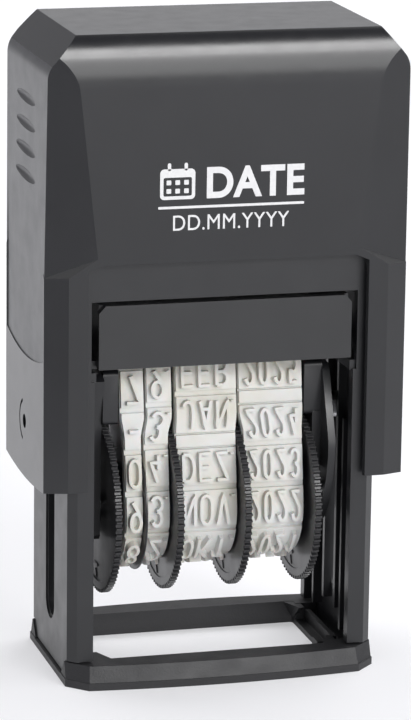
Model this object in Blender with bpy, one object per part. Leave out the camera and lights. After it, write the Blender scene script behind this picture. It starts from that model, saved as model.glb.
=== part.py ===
"""A self-inking rotary date stamp, as an assembly of separate pieces.

Pressing the hood carries the type carriage down inside the frame and turns it half a turn about its
pivot pins, from the ink pad above it to the print window in the foot. Four thumb wheels on one axle
drive four printing bands round a bridge at the carriage's top.

Sizes below are in millimetres, and MM turns them into the model's metres. X runs to the right, Y to
the back and Z up, and the origin is the middle of the foot's underside.
"""

import math

import bmesh
import bpy
from mathutils import Matrix, Vector
from mathutils.geometry import convex_hull_2d

MM = 0.001
GAP = 0.3

# Hood
HOOD_HALF_WIDTH = 22.0
HOOD_HALF_DEPTH = 11.6
HOOD_TOP = 78.3
HOOD_BOTTOM = 24.0
HOOD_WALL = 1.0
TOP_HALF_WIDTH = 18.3
SHOULDER_DROP = 4.3
SHOULDER_RADIUS = 3.0
SIDE_LEAN = 0.25
LEAN_FOOT = 45.0
TOP_ROUND_DROP = 3.3
TOP_ROUND = (2.6, 7.0)
TOP_ROUND_CENTRE = (9.0, 71.9)
LEG_TOP = 52.3
LEG_FACET_X = 19.35
SIDE_FACET_Y = 10.2
CUTOUT_HALF_WIDTH = 17.0
CUTOUT_TOP = 51.5
SPRING_X = 9.0
PEG_RADIUS = 1.6
HOOD_PEG_LENGTH = 4.0

# Frame and foot
FRAME_HALF_WIDTH = 18.8
FRAME_HALF_DEPTH = 9.9
FRAME_TOP = 52.6
FRAME_BOTTOM = 3.1
FRAME_CHAMFER = 1.0
PILLAR_WIDTH = 3.0
PILLAR_SKIN = 1.5
FLANGE_SKIN = 1.2
SLOT_HALF_WIDTH = 1.9
SLOT_BOTTOM = 6.0
SLOT_TOP = 34.2
PAD_WINDOW_HALF_WIDTH = 16.2
PAD_WINDOW = (38.2, 46.8)
DECK = (47.6, 49.0)
TAB_HALF_DEPTH = 8.0
TAB_BOTTOM = 1.0
FOOT_HALF_WIDTH = 19.12
FOOT_HALF_DEPTH = 12.85
FOOT_CORNER_DEPTH = 11.9
FOOT_CORNER_CUT = 2.36
FOOT_HEIGHT = 2.8
FOOT_RIM = 0.9
FOOT_SLANT = 0.7
WINDOW_HALF = (14.4, 8.6)
WINDOW_CORNER = 1.2

# Carriage, wheels and bands
PIVOT_Z = 30.4
PIN_RADIUS = 1.6
AXLE_Z = 19.5
AXLE_RADIUS = 1.5
BORE_GAP = 0.25
CHEEK = (13.45, 14.75)
# the front half of each cheek's outline, from its foot up; the back half mirrors it
LEFT_CHEEK = ((2.8, 16.0), (3.4, 16.6), (3.4, 28.0), (5.2, 36.0), (4.4, 36.8))
RIGHT_CHEEK = ((2.6, 16.3), (6.2, 20.0), (8.2, 26.0), (8.2, 28.0), (5.2, 36.0), (4.4, 36.8))
SHOULDER_X = 12.4
SHOULDER_Y = (2.6, 4.8)
SHOULDER_Z = (30.5, 37.2)
CHEEK_PAD_FOOT = 24.0
BEAM = (1.9, 31.5, 36.2)
BRIDGE_HALF_DEPTH = 2.5
BRIDGE_TOP = 37.7
BAND_THICKNESS = 2.2
WHEEL_RADIUS = 10.65
WHEEL_RIDGES = 84
RIDGE_DEPTH = 0.45
DISC_THICKNESS = 0.8
HUB_RADIUS = 5.2
DIVIDER = (-8.95, -8.7, 8.1)
# name: the disc's right face, the band's left and right edges
WHEELS = {
    "day_tens": (-12.43, -12.2, -9.15),
    "day_units": (-4.83, -8.5, -5.85),
    "month": (3.5, -4.6, 2.5),
    "year": (12.16, 3.7, 10.9),
}

PLASTIC = ((0.055, 0.056, 0.060, 1), 0.32, 0.0)
MATT_PLASTIC = ((0.040, 0.040, 0.043, 1), 0.60, 0.0)
BAND_RUBBER = ((0.74, 0.75, 0.72, 1), 0.65, 0.0)
STEEL = ((0.62, 0.62, 0.64, 1), 0.30, 1.0)
INK_FELT = ((0.02, 0.02, 0.03, 1), 0.95, 0.0)

# How a flat outline's own axes lie in the model, for a solid that runs along X, Y or Z
ALONG = {
    "X": Matrix(((0, 0, 1), (1, 0, 0), (0, 1, 0))),
    "Y": Matrix(((1, 0, 0), (0, 0, -1), (0, 1, 0))),
    "Z": Matrix.Identity(3),
}


def clear_scene():
    for thing in list(bpy.data.objects):
        bpy.data.objects.remove(thing)


def new_collection(name):
    collection = bpy.data.collections.new(name)
    bpy.context.scene.collection.children.link(collection)
    return collection


def new_solid(name, mesh):
    solid = bpy.data.objects.new(name, mesh)
    PARTS.objects.link(solid)
    return solid


def finish(solid, look, angle=35):
    """Gives a piece its own material and smooth shading on its round stretches."""
    colour, roughness, metallic = look
    material = bpy.data.materials.new(solid.name)
    material.use_nodes = True
    shader = material.node_tree.nodes["Principled BSDF"]
    shader.inputs["Base Color"].default_value = colour
    shader.inputs["Roughness"].default_value = roughness
    shader.inputs["Metallic"].default_value = metallic
    solid.data.materials.append(material)
    if solid.type == "MESH":
        solid.data.shade_smooth()
        solid.data.set_sharp_from_angle(angle=math.radians(angle))
    return solid


def block(name, low, high, planes=(), inset=0.0):
    """A box between two corners, cut back by planes given as (point, outward direction).

    inset moves the planes inwards, so that a hollow can follow its shell.
    """
    low, high = Vector(low), Vector(high)
    form = bmesh.new()
    bmesh.ops.create_cube(form, size=1)
    size = Matrix.Diagonal((high - low) * MM).to_4x4()
    form.transform(Matrix.Translation((low + high) / 2 * MM) @ size)
    for point, outward in planes:
        outward = Vector(outward).normalized()
        place = (Vector(point) - outward * inset) * MM
        geometry = form.verts[:] + form.edges[:] + form.faces[:]
        cut = bmesh.ops.bisect_plane(
            form, geom=geometry, plane_co=place, plane_no=outward, clear_outer=True, dist=1e-7
        )
        rim = [edge for edge in cut["geom_cut"] if isinstance(edge, bmesh.types.BMEdge)]
        if rim:
            bmesh.ops.contextual_create(form, geom=rim)
    bmesh.ops.recalc_face_normals(form, faces=form.faces[:])
    mesh = bpy.data.meshes.new(name)
    form.to_mesh(mesh)
    form.free()
    return new_solid(name, mesh)


def prism(name, loops, along, start, end):
    """A solid from start to end along an axis. Its outline is the first loop, and the others are holes."""
    curve = bpy.data.curves.new(name, "CURVE")
    curve.dimensions = "2D"
    curve.fill_mode = "BOTH"
    curve.extrude = abs(end - start) / 2 * MM
    for loop in loops:
        spline = curve.splines.new("POLY")
        spline.points.add(len(loop) - 1)
        spline.use_cyclic_u = True
        for point, (u, v) in zip(spline.points, loop):
            point.co = (u * MM, v * MM, 0, 1)
    guide = bpy.data.objects.new(name + "_outline", curve)
    PARTS.objects.link(guide)
    bpy.context.view_layer.update()
    mesh = bpy.data.meshes.new_from_object(guide.evaluated_get(bpy.context.evaluated_depsgraph_get()))
    bpy.data.objects.remove(guide)
    turn = ALONG[along]
    middle = turn.col[2] * (1 if along != "Y" else -1) * (start + end) / 2 * MM
    mesh.transform(Matrix.Translation(middle) @ turn.to_4x4())
    form = bmesh.new()
    form.from_mesh(mesh)
    bmesh.ops.remove_doubles(form, verts=form.verts[:], dist=1e-6)
    bmesh.ops.recalc_face_normals(form, faces=form.faces[:])
    form.to_mesh(mesh)
    form.free()
    mesh.name = name
    return new_solid(name, mesh)


def circle(radius, centre=(0.0, 0.0), sides=24):
    turns = (2 * math.pi * i / sides for i in range(sides))
    return [(centre[0] + radius * math.cos(t), centre[1] + radius * math.sin(t)) for t in turns]


def rectangle(low, high, cut=0.0):
    """A rectangle's outline, with its corners cut off."""
    (a, b), (c, d) = low, high
    if not cut:
        return [(a, b), (c, b), (c, d), (a, d)]
    return [
        (a + cut, b), (c - cut, b), (c, b + cut), (c, d - cut),
        (c - cut, d), (a + cut, d), (a, d - cut), (a, b + cut),
    ]


def upright_slot(half_width, low, high, sides=16):
    """A slot's outline with round ends."""
    ends = []
    for i in range(sides + 1):
        t = math.pi * i / sides
        ends.append((half_width * math.cos(t), high - half_width + half_width * math.sin(t)))
    for i in range(sides + 1):
        t = math.pi + math.pi * i / sides
        ends.append((half_width * math.cos(t), low + half_width + half_width * math.sin(t)))
    return ends


def belt_loop(offset):
    """The line of a band stretched round its hub and the bridge, this far out from both."""
    points = circle(HUB_RADIUS + GAP + offset, (0.0, AXLE_Z), 40)
    for side in (-1, 1):
        corner = (side * (BRIDGE_HALF_DEPTH + GAP - 0.5), BRIDGE_TOP + GAP - 0.5)
        points += circle(0.5 + offset, corner, 16)
    return [points[i] for i in convex_hull_2d([Vector(p) for p in points])]


def tool(solid):
    """Makes a solid a cutter or an added lump, which is no piece of the stamp."""
    PARTS.objects.unlink(solid)
    CUTTERS.objects.link(solid)
    solid.hide_render = True
    solid.display_type = "WIRE"
    return solid


def combine(solid, operation, *others):
    for other in others:
        modifier = solid.modifiers.new(other.name, "BOOLEAN")
        modifier.operation = operation
        modifier.solver = "EXACT"
        modifier.object = tool(other)
    return solid


def add(solid, *others):
    return combine(solid, "UNION", *others)


def cut(solid, *others):
    return combine(solid, "DIFFERENCE", *others)


def shoulder_planes(side):
    """One side's slight inward lean, its sloping shoulder, and the eased edge between the two."""
    slope = Vector((SHOULDER_DROP, HOOD_HALF_WIDTH - TOP_HALF_WIDTH)).normalized()
    centre_x = HOOD_HALF_WIDTH - SIDE_LEAN - SHOULDER_RADIUS
    reach = slope.dot(Vector((TOP_HALF_WIDTH, HOOD_TOP))) - SHOULDER_RADIUS
    centre_z = (reach - slope.x * centre_x) / slope.y
    t = math.atan2(slope.y, slope.x) / 2
    eased = (side * (centre_x + SHOULDER_RADIUS * math.cos(t)), 0, centre_z + SHOULDER_RADIUS * math.sin(t))
    return [
        ((side * HOOD_HALF_WIDTH, 0, LEAN_FOOT), (side * (centre_z - LEAN_FOOT), 0, SIDE_LEAN)),
        (eased, (side * math.cos(t), 0, math.sin(t))),
        ((side * TOP_HALF_WIDTH, 0, HOOD_TOP), (side * slope.x, 0, slope.y)),
    ]


def hood_planes():
    """The hood's shoulders, its rounded front and back top edges, and its four corner facets."""
    planes = []
    for side in (-1, 1):
        planes += shoulder_planes(side)
        out, up = TOP_ROUND
        for degrees in (4, 14, 24, 34, 44, 54, 64):
            t = math.radians(degrees)
            y = side * (TOP_ROUND_CENTRE[0] + out * math.cos(t))
            z = TOP_ROUND_CENTRE[1] + up * math.sin(t)
            planes.append(((0, y, z), (0, side * math.cos(t) / out, math.sin(t) / up)))
        for end in (-1, 1):
            foot = Vector((side * 15.9, end * HOOD_HALF_DEPTH, LEG_TOP))
            head = Vector((side * 18.4, end * HOOD_HALF_DEPTH, HOOD_TOP - TOP_ROUND_DROP))
            edge = Vector((side * HOOD_HALF_WIDTH, end * SIDE_FACET_Y, LEG_TOP))
            outward = (head - foot).cross(edge - foot) * side * end
            planes.append((foot, outward if outward.y * end > 0 else -outward))
    return planes


def leg_planes():
    """The legs' corner facets."""
    planes = []
    for side in (-1, 1):
        for end in (-1, 1):
            run = HOOD_HALF_WIDTH - LEG_FACET_X
            rise = HOOD_HALF_DEPTH - SIDE_FACET_Y
            edge = (side * LEG_FACET_X, end * HOOD_HALF_DEPTH, 0)
            planes.append((edge, (side * rise, end * run, 0)))
    return planes


def ledge_planes():
    """The slope at the top of each leg, where it stands proud of the facet above it."""
    planes = []
    for side in (-1, 1):
        for end in (-1, 1):
            inner = Vector((side * 15.9, end * HOOD_HALF_DEPTH, LEG_TOP))
            outer = Vector((side * LEG_FACET_X, end * HOOD_HALF_DEPTH, LEG_TOP - 2.1))
            upward = (outer - inner).cross(Vector((0, end, -1)))
            planes.append((inner, upward if upward.z > 0 else -upward))
    return planes


def hood_shell():
    width, depth, wall = HOOD_HALF_WIDTH, HOOD_HALF_DEPTH, HOOD_WALL
    hood = block("hood_shell", (-width, -depth, 50), (width, depth, HOOD_TOP), hood_planes())
    legs = leg_planes() + ledge_planes()
    add(hood, block("hood_legs", (-width, -depth, HOOD_BOTTOM), (width, depth, LEG_TOP + 0.2), legs))
    inner = (width - wall, depth - wall, HOOD_TOP - wall)
    hollow = block("hood_hollow", (-inner[0], -inner[1], 49), inner, hood_planes(), wall)
    leg_hollow = block(
        "leg_hollow", (-inner[0], -inner[1], 20), (inner[0], inner[1], LEG_TOP - 3), leg_planes(), wall
    )
    cutout = [
        (-CUTOUT_HALF_WIDTH, 15), (CUTOUT_HALF_WIDTH, 15), (CUTOUT_HALF_WIDTH, CUTOUT_TOP - 0.7),
        (CUTOUT_HALF_WIDTH - 1.6, CUTOUT_TOP), (1.6 - CUTOUT_HALF_WIDTH, CUTOUT_TOP),
        (-CUTOUT_HALF_WIDTH, CUTOUT_TOP - 0.7),
    ]
    cut(hood, hollow, leg_hollow, prism("cutout", [cutout], "Y", -20, 20))
    for side, word in ((-1, "left"), (1, "right")):
        centre = (0.0, PIVOT_Z)
        outline = circle(3.2, centre)
        add(hood, prism("pin_boss_" + word, [outline], "X", side * 19.1, side * (inner[0] + 0.3)))
        bore = circle(PIN_RADIUS + BORE_GAP, centre)
        cut(hood, prism("pin_bore_" + word, [bore], "X", side * 18, side * (inner[0] + 0.35)))
        cut(hood, prism("pin_hole_" + word, [circle(0.85, centre, 16)], "X", side * 20, side * 24))
        peg = circle(PEG_RADIUS, (side * SPRING_X, 0), 16)
        add(hood, prism("hood_peg_" + word, [peg], "Z", inner[2] - HOOD_PEG_LENGTH, inner[2] + 0.3))
    return finish(hood, PLASTIC)


def frame():
    width, depth = FRAME_HALF_WIDTH, FRAME_HALF_DEPTH
    outline = rectangle((-width, -depth), (width, depth), FRAME_CHAMFER)
    body = prism("frame", [outline], "Z", FRAME_BOTTOM, FRAME_TOP)
    inner = width - PILLAR_WIDTH
    channel = width - PILLAR_SKIN
    for side, word in ((-1, "left"), (1, "right")):
        lows, highs = sorted((side * channel, side * width))
        add(body, block("tab_" + word, (lows, -TAB_HALF_DEPTH, TAB_BOTTOM), (highs, TAB_HALF_DEPTH, 5)))
    skin = depth - FLANGE_SKIN
    slot = upright_slot(SLOT_HALF_WIDTH, SLOT_BOTTOM, SLOT_TOP)
    low, high = PAD_WINDOW
    cut(
        body,
        block("window", (-inner, -20, -1), (inner, 20, low)),
        block("channels", (-channel, PILLAR_SKIN - depth, -1), (channel, depth - PILLAR_SKIN, low + 1)),
        block("pad_way", (-PAD_WINDOW_HALF_WIDTH, -20, low - 1), (PAD_WINDOW_HALF_WIDTH, 20, high)),
        block("pad_room", (-channel, -skin, low), (channel, skin, DECK[0])),
        block("spring_room", (-channel, -skin, DECK[1]), (channel, skin, 60)),
        prism("pin_slots", [slot], "X", -30, 30),
    )
    for side, word in ((-1, "left"), (1, "right")):
        lows, highs = sorted((side * 15.5, side * (channel + 0.2)))
        add(body, block("ledge_" + word, (lows, -depth + 0.5, low - 1.2), (highs, depth - 0.5, low)))
        peg = circle(PEG_RADIUS, (side * SPRING_X, 0), 16)
        add(body, prism("frame_peg_" + word, [peg], "Z", DECK[1] - 0.3, DECK[1] + 2.6))
    return finish(body, PLASTIC)


def foot():
    width, depth = FOOT_HALF_WIDTH, FOOT_HALF_DEPTH
    chord = width - FOOT_CORNER_CUT
    bulge = depth - FOOT_CORNER_DEPTH
    radius = (chord**2 + bulge**2) / (2 * bulge)
    planes = []
    for end in (-1, 1):
        for step in range(-4, 5):
            x = chord * step / 4.5
            t = math.asin(x / radius)
            y = end * (depth - radius * (1 - math.cos(t)))
            planes.append(((x, y, 0), (math.sin(t), end * math.cos(t), 0)))
            rise = FOOT_SLANT / (FOOT_HEIGHT - FOOT_RIM)
            planes.append(((x, y, FOOT_RIM), (math.sin(t), end * math.cos(t), rise)))
        for side in (-1, 1):
            planes.append(((side * chord, end * FOOT_CORNER_DEPTH, 0), (side, end, 0)))
    ring = block("foot", (-width, -depth, 0), (width, depth, FOOT_HEIGHT), planes)
    opening = rectangle((-WINDOW_HALF[0], -WINDOW_HALF[1]), WINDOW_HALF, WINDOW_CORNER)
    cut(ring, prism("print_window", [opening], "Z", -5, 10))
    for side, word in ((-1, "left"), (1, "right")):
        lows, highs = sorted((side * (FRAME_HALF_WIDTH - PILLAR_SKIN - GAP), side * 25))
        reach = TAB_HALF_DEPTH + GAP
        cut(ring, block("tab_seat_" + word, (lows, -reach, TAB_BOTTOM - GAP), (highs, reach, 10)))
    return finish(ring, MATT_PLASTIC)


def ink_tray():
    low, high = PAD_WINDOW
    tray = block("ink_tray", (-15.2, -9.2, low + 0.5), (15.2, 9.3, high - 0.5))
    plate = [(-15.4, low + 0.5), (15.4, low + 0.5), (15.4, 45.5), (14.6, 46.35), (-14.6, 46.35), (-15.4, 45.5)]
    add(tray, prism("tray_plate", [plate], "Y", -10.2, -9.1))
    add(tray, block("tray_runners", (-15.95, -8.6, low + 0.3), (15.95, 9.3, low + 1.3)))
    cut(tray, block("tray_hollow", (-14.3, -8.2, 30), (14.3, 8.4, 45.3)))
    # The back wall stops above the type, so that it passes over it on the way out.
    cut(tray, block("tray_back_gap", (-14.3, 8.2, 30), (14.3, 12, 40.4)))
    return finish(tray, PLASTIC)


def ink_felt():
    return finish(block("ink_felt", (-14.0, -7.9, 40.5), (14.0, 8.1, 45.0)), INK_FELT)


def return_spring(name, x):
    """A compression spring from the frame's deck to the underside of the hood."""
    wire, radius, turns, steps = 0.3, 2.4, 8, 12
    low = DECK[1] + GAP + wire
    high = HOOD_TOP - HOOD_WALL - GAP - wire
    curve = bpy.data.curves.new(name, "CURVE")
    curve.dimensions = "3D"
    curve.bevel_depth = wire * MM
    curve.bevel_resolution = 1
    curve.use_fill_caps = True
    spline = curve.splines.new("POLY")
    count = turns * steps + 1
    spline.points.add(count - 1)
    for i, point in enumerate(spline.points):
        t = 2 * math.pi * i / steps
        z = low + (high - low) * i / (count - 1)
        point.co = (radius * math.cos(t) * MM, radius * math.sin(t) * MM, z * MM, 1)
    spring = bpy.data.objects.new(name, curve)
    spring.location = (x * MM, 0, 0)
    PARTS.objects.link(spring)
    return finish(spring, STEEL)


def pivot_pin(name, side):
    outline = circle(PIN_RADIUS, (0.0, PIVOT_Z))
    pin = prism(name, [outline], "X", side * 13.9, side * 21.05)
    return finish(pin, STEEL)


def carriage_frame():
    """Two cheeks joined by the beam under the bridge."""
    half_depth, low, high = BEAM
    beam = block("carriage_frame", (-CHEEK[0] - 0.2, -half_depth, low), (CHEEK[0] + 0.2, half_depth, high))
    holes = [
        circle(PIN_RADIUS + BORE_GAP, (0.0, PIVOT_Z)),
        circle(AXLE_RADIUS + BORE_GAP, (0.0, AXLE_Z)),
    ]
    near, far = SHOULDER_Y
    for side, half in ((-1, LEFT_CHEEK), (1, RIGHT_CHEEK)):
        start, end = (side * x for x in CHEEK)
        outline = [*half, *((-y, z) for y, z in reversed(half))]
        add(beam, prism("cheek", [outline, *holes], "X", start, end))
        left, right = sorted((side * SHOULDER_X, side * (CHEEK[0] + 0.1)))
        for front, back in ((-far, -near), (near, far)):
            add(beam, block("shoulder", (left, front, SHOULDER_Z[0]), (right, back, SHOULDER_Z[1])))
    pad_head = SHOULDER_Z[0] + 0.4
    pad = block("cheek_pad", (SHOULDER_X, -far, CHEEK_PAD_FOOT), (CHEEK[0] + 0.1, far, pad_head))
    cut(pad, prism("pin_bore", [holes[0]], "X", SHOULDER_X - 1, CHEEK[1]))
    add(beam, pad)
    return finish(beam, PLASTIC)


def type_bridge():
    """The anvil that the bands run over: a channel that sits on the carriage's beam."""
    half_depth, low, high = BEAM
    end = CHEEK[0] - 0.25
    bridge = block("type_bridge", (-end, -BRIDGE_HALF_DEPTH, low), (end, BRIDGE_HALF_DEPTH, BRIDGE_TOP))
    inner = half_depth + 0.2
    cut(bridge, block("bridge_hollow", (-20, -inner, low - 5), (20, inner, high + GAP)))
    return finish(bridge, PLASTIC)


def turned_ring(name, radius, bore, start, end, look):
    centre = (0.0, AXLE_Z)
    ring = prism(name, [circle(radius, centre, 32), circle(bore, centre)], "X", start, end)
    return finish(ring, look)


def detent_spring():
    """A leaf comb under the beam, with one tongue on each wheel's hub."""
    back = (30.45, 31.2)
    outline = [(CHEEK[0] - 0.3, back[1]), (0.3 - CHEEK[0], back[1]), (0.3 - CHEEK[0], back[0])]
    for _, left, right in WHEELS.values():
        middle = (left + right) / 2
        tip = AXLE_Z + HUB_RADIUS + GAP
        outline += [(middle - 0.9, back[0]), (middle - 0.9, tip), (middle + 0.9, tip), (middle + 0.9, back[0])]
    outline.append((CHEEK[0] - 0.3, back[0]))
    return finish(prism("detent_spring", [outline], "Y", -0.2, 0.2), STEEL)


def wheel(name, face, left, right):
    """A thumb wheel: a disc with a ridged rim, and the hub that its band runs on."""
    rim = []
    for i in range(2 * WHEEL_RIDGES):
        t = math.pi * i / WHEEL_RIDGES
        radius = WHEEL_RADIUS - RIDGE_DEPTH * (i % 2)
        rim.append((radius * math.cos(t), AXLE_Z + radius * math.sin(t)))
    disc = prism("wheel_" + name, [rim], "X", face - DISC_THICKNESS, face)
    hub_end = left if left < face - 1 else right
    hub = prism("hub_" + name, [circle(HUB_RADIUS, (0.0, AXLE_Z), 32)], "X", face - DISC_THICKNESS / 2, hub_end)
    bore = circle(AXLE_RADIUS + BORE_GAP, (0.0, AXLE_Z))
    add(disc, hub)
    cut(disc, prism("bore_" + name, [bore], "X", -20, 20))
    return finish(disc, PLASTIC)


def band(name, left, right):
    """A printing band: an endless belt as thick as its base and its raised type together."""
    belt = prism("band_" + name, [belt_loop(BAND_THICKNESS), belt_loop(0.0)], "X", left, right)
    return finish(belt, BAND_RUBBER)


def carried_by(name, place, pieces, parent=None):
    """An empty on a moving body's axis, which carries the body's pieces."""
    empty = bpy.data.objects.new(name, None)
    PARTS.objects.link(empty)
    empty.location = Vector(place) * MM
    if parent:
        empty.parent = parent
        empty.matrix_parent_inverse = parent.matrix_world.inverted()
    bpy.context.view_layer.update()
    for piece in pieces:
        piece.parent = empty
        piece.matrix_parent_inverse = empty.matrix_world.inverted()
    return empty


def main():
    frame()
    foot()
    for word, x in (("left", -SPRING_X), ("right", SPRING_X)):
        return_spring("return_spring_" + word, x)
    carried_by("pad_slide", (0, 0, PAD_WINDOW[0]), [ink_tray(), ink_felt()])
    pins = [pivot_pin("pivot_pin_left", -1), pivot_pin("pivot_pin_right", 1)]
    hood = carried_by("hood_press", (0, 0, HOOD_TOP), [hood_shell(), *pins])
    clip = (2.6, AXLE_RADIUS + 0.2)
    pieces = [
        carriage_frame(),
        type_bridge(),
        detent_spring(),
        finish(prism("wheel_axle", [circle(AXLE_RADIUS, (0.0, AXLE_Z))], "X", -15.5, 15.5), STEEL),
        turned_ring("axle_clip_left", *clip, -15.4, -14.95, STEEL),
        turned_ring("axle_clip_right", *clip, 14.95, 15.4, STEEL),
        turned_ring("divider_disc", DIVIDER[2], AXLE_RADIUS + BORE_GAP, *DIVIDER[:2], PLASTIC),
    ]
    pieces += [band(name, left, right) for name, (_, left, right) in WHEELS.items()]
    carriage = carried_by("carriage_flip", (0, 0, PIVOT_Z), pieces, hood)
    for name, sizes in WHEELS.items():
        carried_by("turn_" + name, (0, 0, AXLE_Z), [wheel(name, *sizes)], carriage)


clear_scene()
PARTS = new_collection("rotary_date_stamp")
CUTTERS = new_collection("cutters")
main()
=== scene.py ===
"""The looks of the rotary date stamp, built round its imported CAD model.

Sizes here are in millimetres, as in the helpers below, and MM turns them into the scene's metres.
X runs to the right, Y to the back and Z up, with the origin under the middle of the foot.
"""

import math

import bmesh
import bpy
from mathutils import Matrix, Vector
from mathutils.geometry import convex_hull_2d


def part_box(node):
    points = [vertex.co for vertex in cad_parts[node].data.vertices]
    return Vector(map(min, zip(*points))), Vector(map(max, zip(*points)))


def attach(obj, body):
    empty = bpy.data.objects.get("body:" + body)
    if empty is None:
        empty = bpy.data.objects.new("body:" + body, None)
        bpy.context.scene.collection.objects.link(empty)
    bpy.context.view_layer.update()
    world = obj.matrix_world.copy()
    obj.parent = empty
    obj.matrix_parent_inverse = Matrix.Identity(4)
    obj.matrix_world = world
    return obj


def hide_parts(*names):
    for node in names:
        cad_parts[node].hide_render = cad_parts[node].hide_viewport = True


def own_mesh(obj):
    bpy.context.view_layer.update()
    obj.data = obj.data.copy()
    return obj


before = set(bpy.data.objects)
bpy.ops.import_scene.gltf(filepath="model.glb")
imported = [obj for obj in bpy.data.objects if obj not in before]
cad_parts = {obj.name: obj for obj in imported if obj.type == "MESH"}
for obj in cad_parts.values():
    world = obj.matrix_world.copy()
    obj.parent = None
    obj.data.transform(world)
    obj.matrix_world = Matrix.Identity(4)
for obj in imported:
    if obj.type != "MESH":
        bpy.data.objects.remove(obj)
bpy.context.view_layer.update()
MM = 0.001


def corners_mm(node):
    """The two corners of a CAD node's box, in millimetres."""
    low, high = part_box(node)
    return low / MM, high / MM


# -------- sizes read from the frame

_, HOOD = corners_mm("hood_shell")
_, FRAME = corners_mm("frame")
_, FOOT = corners_mm("foot")
TRAY_LOW, TRAY = corners_mm("ink_tray")
_, BRIDGE = corners_mm("type_bridge")
WHEEL_LOW, WHEEL_HIGH = corners_mm("wheel_month")
PIN_LOW, PIN_HIGH = corners_mm("pivot_pin_right")
SPRING_LOW, SPRING_HIGH = corners_mm("return_spring_right")
AXLE_Z = (WHEEL_LOW.z + WHEEL_HIGH.z) / 2
PIVOT_Z = (PIN_LOW.z + PIN_HIGH.z) / 2
SPRING_X = (SPRING_LOW.x + SPRING_HIGH.x) / 2
WHEEL_RADIUS = (WHEEL_HIGH.z - WHEEL_LOW.z) / 2
BORE_RADIUS = 1.75
BAND_NAMES = ("day_tens", "day_units", "month", "year")

# Hood
HOOD_WALL = 1.0
TOP_HALF_WIDTH = 18.3
SHOULDER_DROP = 4.3
SHOULDER_RADIUS = 3.0
SIDE_LEAN = 0.25
LEAN_FOOT = 45.0
# the front and back top edges: part of an ellipse, from one angle in degrees to another
TOP_ROUND = (2.6, 7.0)
TOP_ROUND_CENTRE = (9.0, 71.9)
TOP_ROUND_START = 1.5
TOP_ROUND_END = 66.4
TOP_ROUND_STEPS = 17
# the corner facets: half widths at their foot and head, their head's height and their depth at the side
FACET_FOOT_X = 15.9
FACET_HEAD_X = 18.4
FACET_HEAD = 75.0
FACET_Y = 10.2
LEG_TOP = 52.3
LEG_BOTTOM = 23
LEG_FACET_X = 19.35
LEDGE_DROP = 2.1
CUTOUT_HALF_WIDTH = 17.0
CUTOUT_TOP = 51.5
CUTOUT_CORNER = (1.6, 0.7)
GRIP_HALF_DEPTH = 9.75
GRIP_TOP = 74.2
GRIP_BOTTOM = 39.9
GRIP_SAG = 1.3
GRIP_RECESS = 0.12
GROOVE_HEIGHTS = (69.5, 66.4, 63.4, 60.35)
GROOVE_RADII = (0.62, 5.3, 0.72)
PIN_BORE_RADIUS = 1.85
PIN_BOSS_RADIUS = 3.2
PEG_RADIUS = 1.6
# the printed mark runs in Y from just in front of the hood's face to just inside it
INK_FRONT = -HOOD.y - 0.035
INK_BACK = -HOOD.y + 0.05

# Frame and foot
PILLAR_WIDTH = 3.0
PILLAR_SKIN = 1.5
FLANGE_SKIN = 1.2
SLOT_HALF_WIDTH = 1.9
SLOT = (6.0, 34.2)
SLOT_RIM = 0.35
PAD_WAY = 16.2
PAD_WINDOW = (38.2, 46.8)
DECK = (47.6, 49.0)

# Carriage: its cheeks' inner face, and half of each cheek's outline in Y and Z, from its foot to its head
CHEEK_INNER = 13.45
LEFT_CHEEK = [(2.8, 16.0), (3.4, 16.6), (3.4, 28.0), (5.2, 36.0), (4.4, 36.8)]
RIGHT_CHEEK = [
    (2.6, 16.3), (4.6, 17.6), (6.2, 20.0), (7.5, 23.0),
    (8.2, 26.0), (8.2, 28.0), (5.2, 36.0), (4.4, 36.8),
]
CHEEK_PAD_DEPTH = 4.8

# Wheels
RIDGES = 84
RIDGE_HEIGHT = 0.42
DISC_THICKNESS = 0.8
WEB_RADIUS = 9.3
WEB_RECESS = 0.15
BACK_RECESS = 0.12
HUB_RADIUS = 5.2

# Bands
BELT_HUB_RADIUS = 5.5
BRIDGE_ROUND = 0.5
BELT_BASE = 1.0
PAD_HEIGHT = 0.42
ROW_PITCH = 5.03
CHARACTER_HEIGHT = 3.75
BAND_THICKNESS = 2.2
STRIP_EXTRA = 1.3
PAD_LENGTH = 4.45
STRIP_LENGTH = 1.55
# the widths of texts with one and two characters: longer ones fill their pad
SHORT_WIDTHS = {1: 1.75, 2: 2.35}
# the heights between which the bands widen, above the wheels
SPREAD = (29.3, 31.2)
# band: its left and right edges beside the wheels, and its edges above them, where bands nearly touch
EDGES = {
    "day_tens": ((-11.1, -8.99), (-11.45, -8.5)),
    "day_units": ((-8.66, -5.68), (-8.25, -5.1)),
    "month": ((-4.8, 2.66), (-4.65, 2.9)),
    "year": ((3.54, 10.95), (3.1, 11.1)),
}

# -------- helpers

ALONG = {
    "X": Matrix(((0, 0, 1), (1, 0, 0), (0, 1, 0))),
    "Y": Matrix(((1, 0, 0), (0, 0, -1), (0, 1, 0))),
    "Z": Matrix.Identity(3),
}


def new_object(name, data):
    """A new object in the scene that shows a mesh, curve, text, light or camera."""
    thing = bpy.data.objects.new(name, data)
    bpy.context.scene.collection.objects.link(thing)
    return thing


def from_form(name, form):
    """A new object made from a bmesh, which is freed."""
    mesh = bpy.data.meshes.new(name)
    form.to_mesh(mesh)
    form.free()
    return new_object(name, mesh)


def evaluated_mesh(thing):
    """The mesh that an object's curve, text or modifiers make."""
    bpy.context.view_layer.update()
    graph = bpy.context.evaluated_depsgraph_get()
    return bpy.data.meshes.new_from_object(thing.evaluated_get(graph))


def mesh_of(guide):
    """The mesh of a guide curve or text, which is removed."""
    mesh = evaluated_mesh(guide)
    bpy.data.objects.remove(guide)
    return mesh


def face_out(form):
    """Turns every face outward."""
    bmesh.ops.recalc_face_normals(form, faces=form.faces[:])


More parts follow.
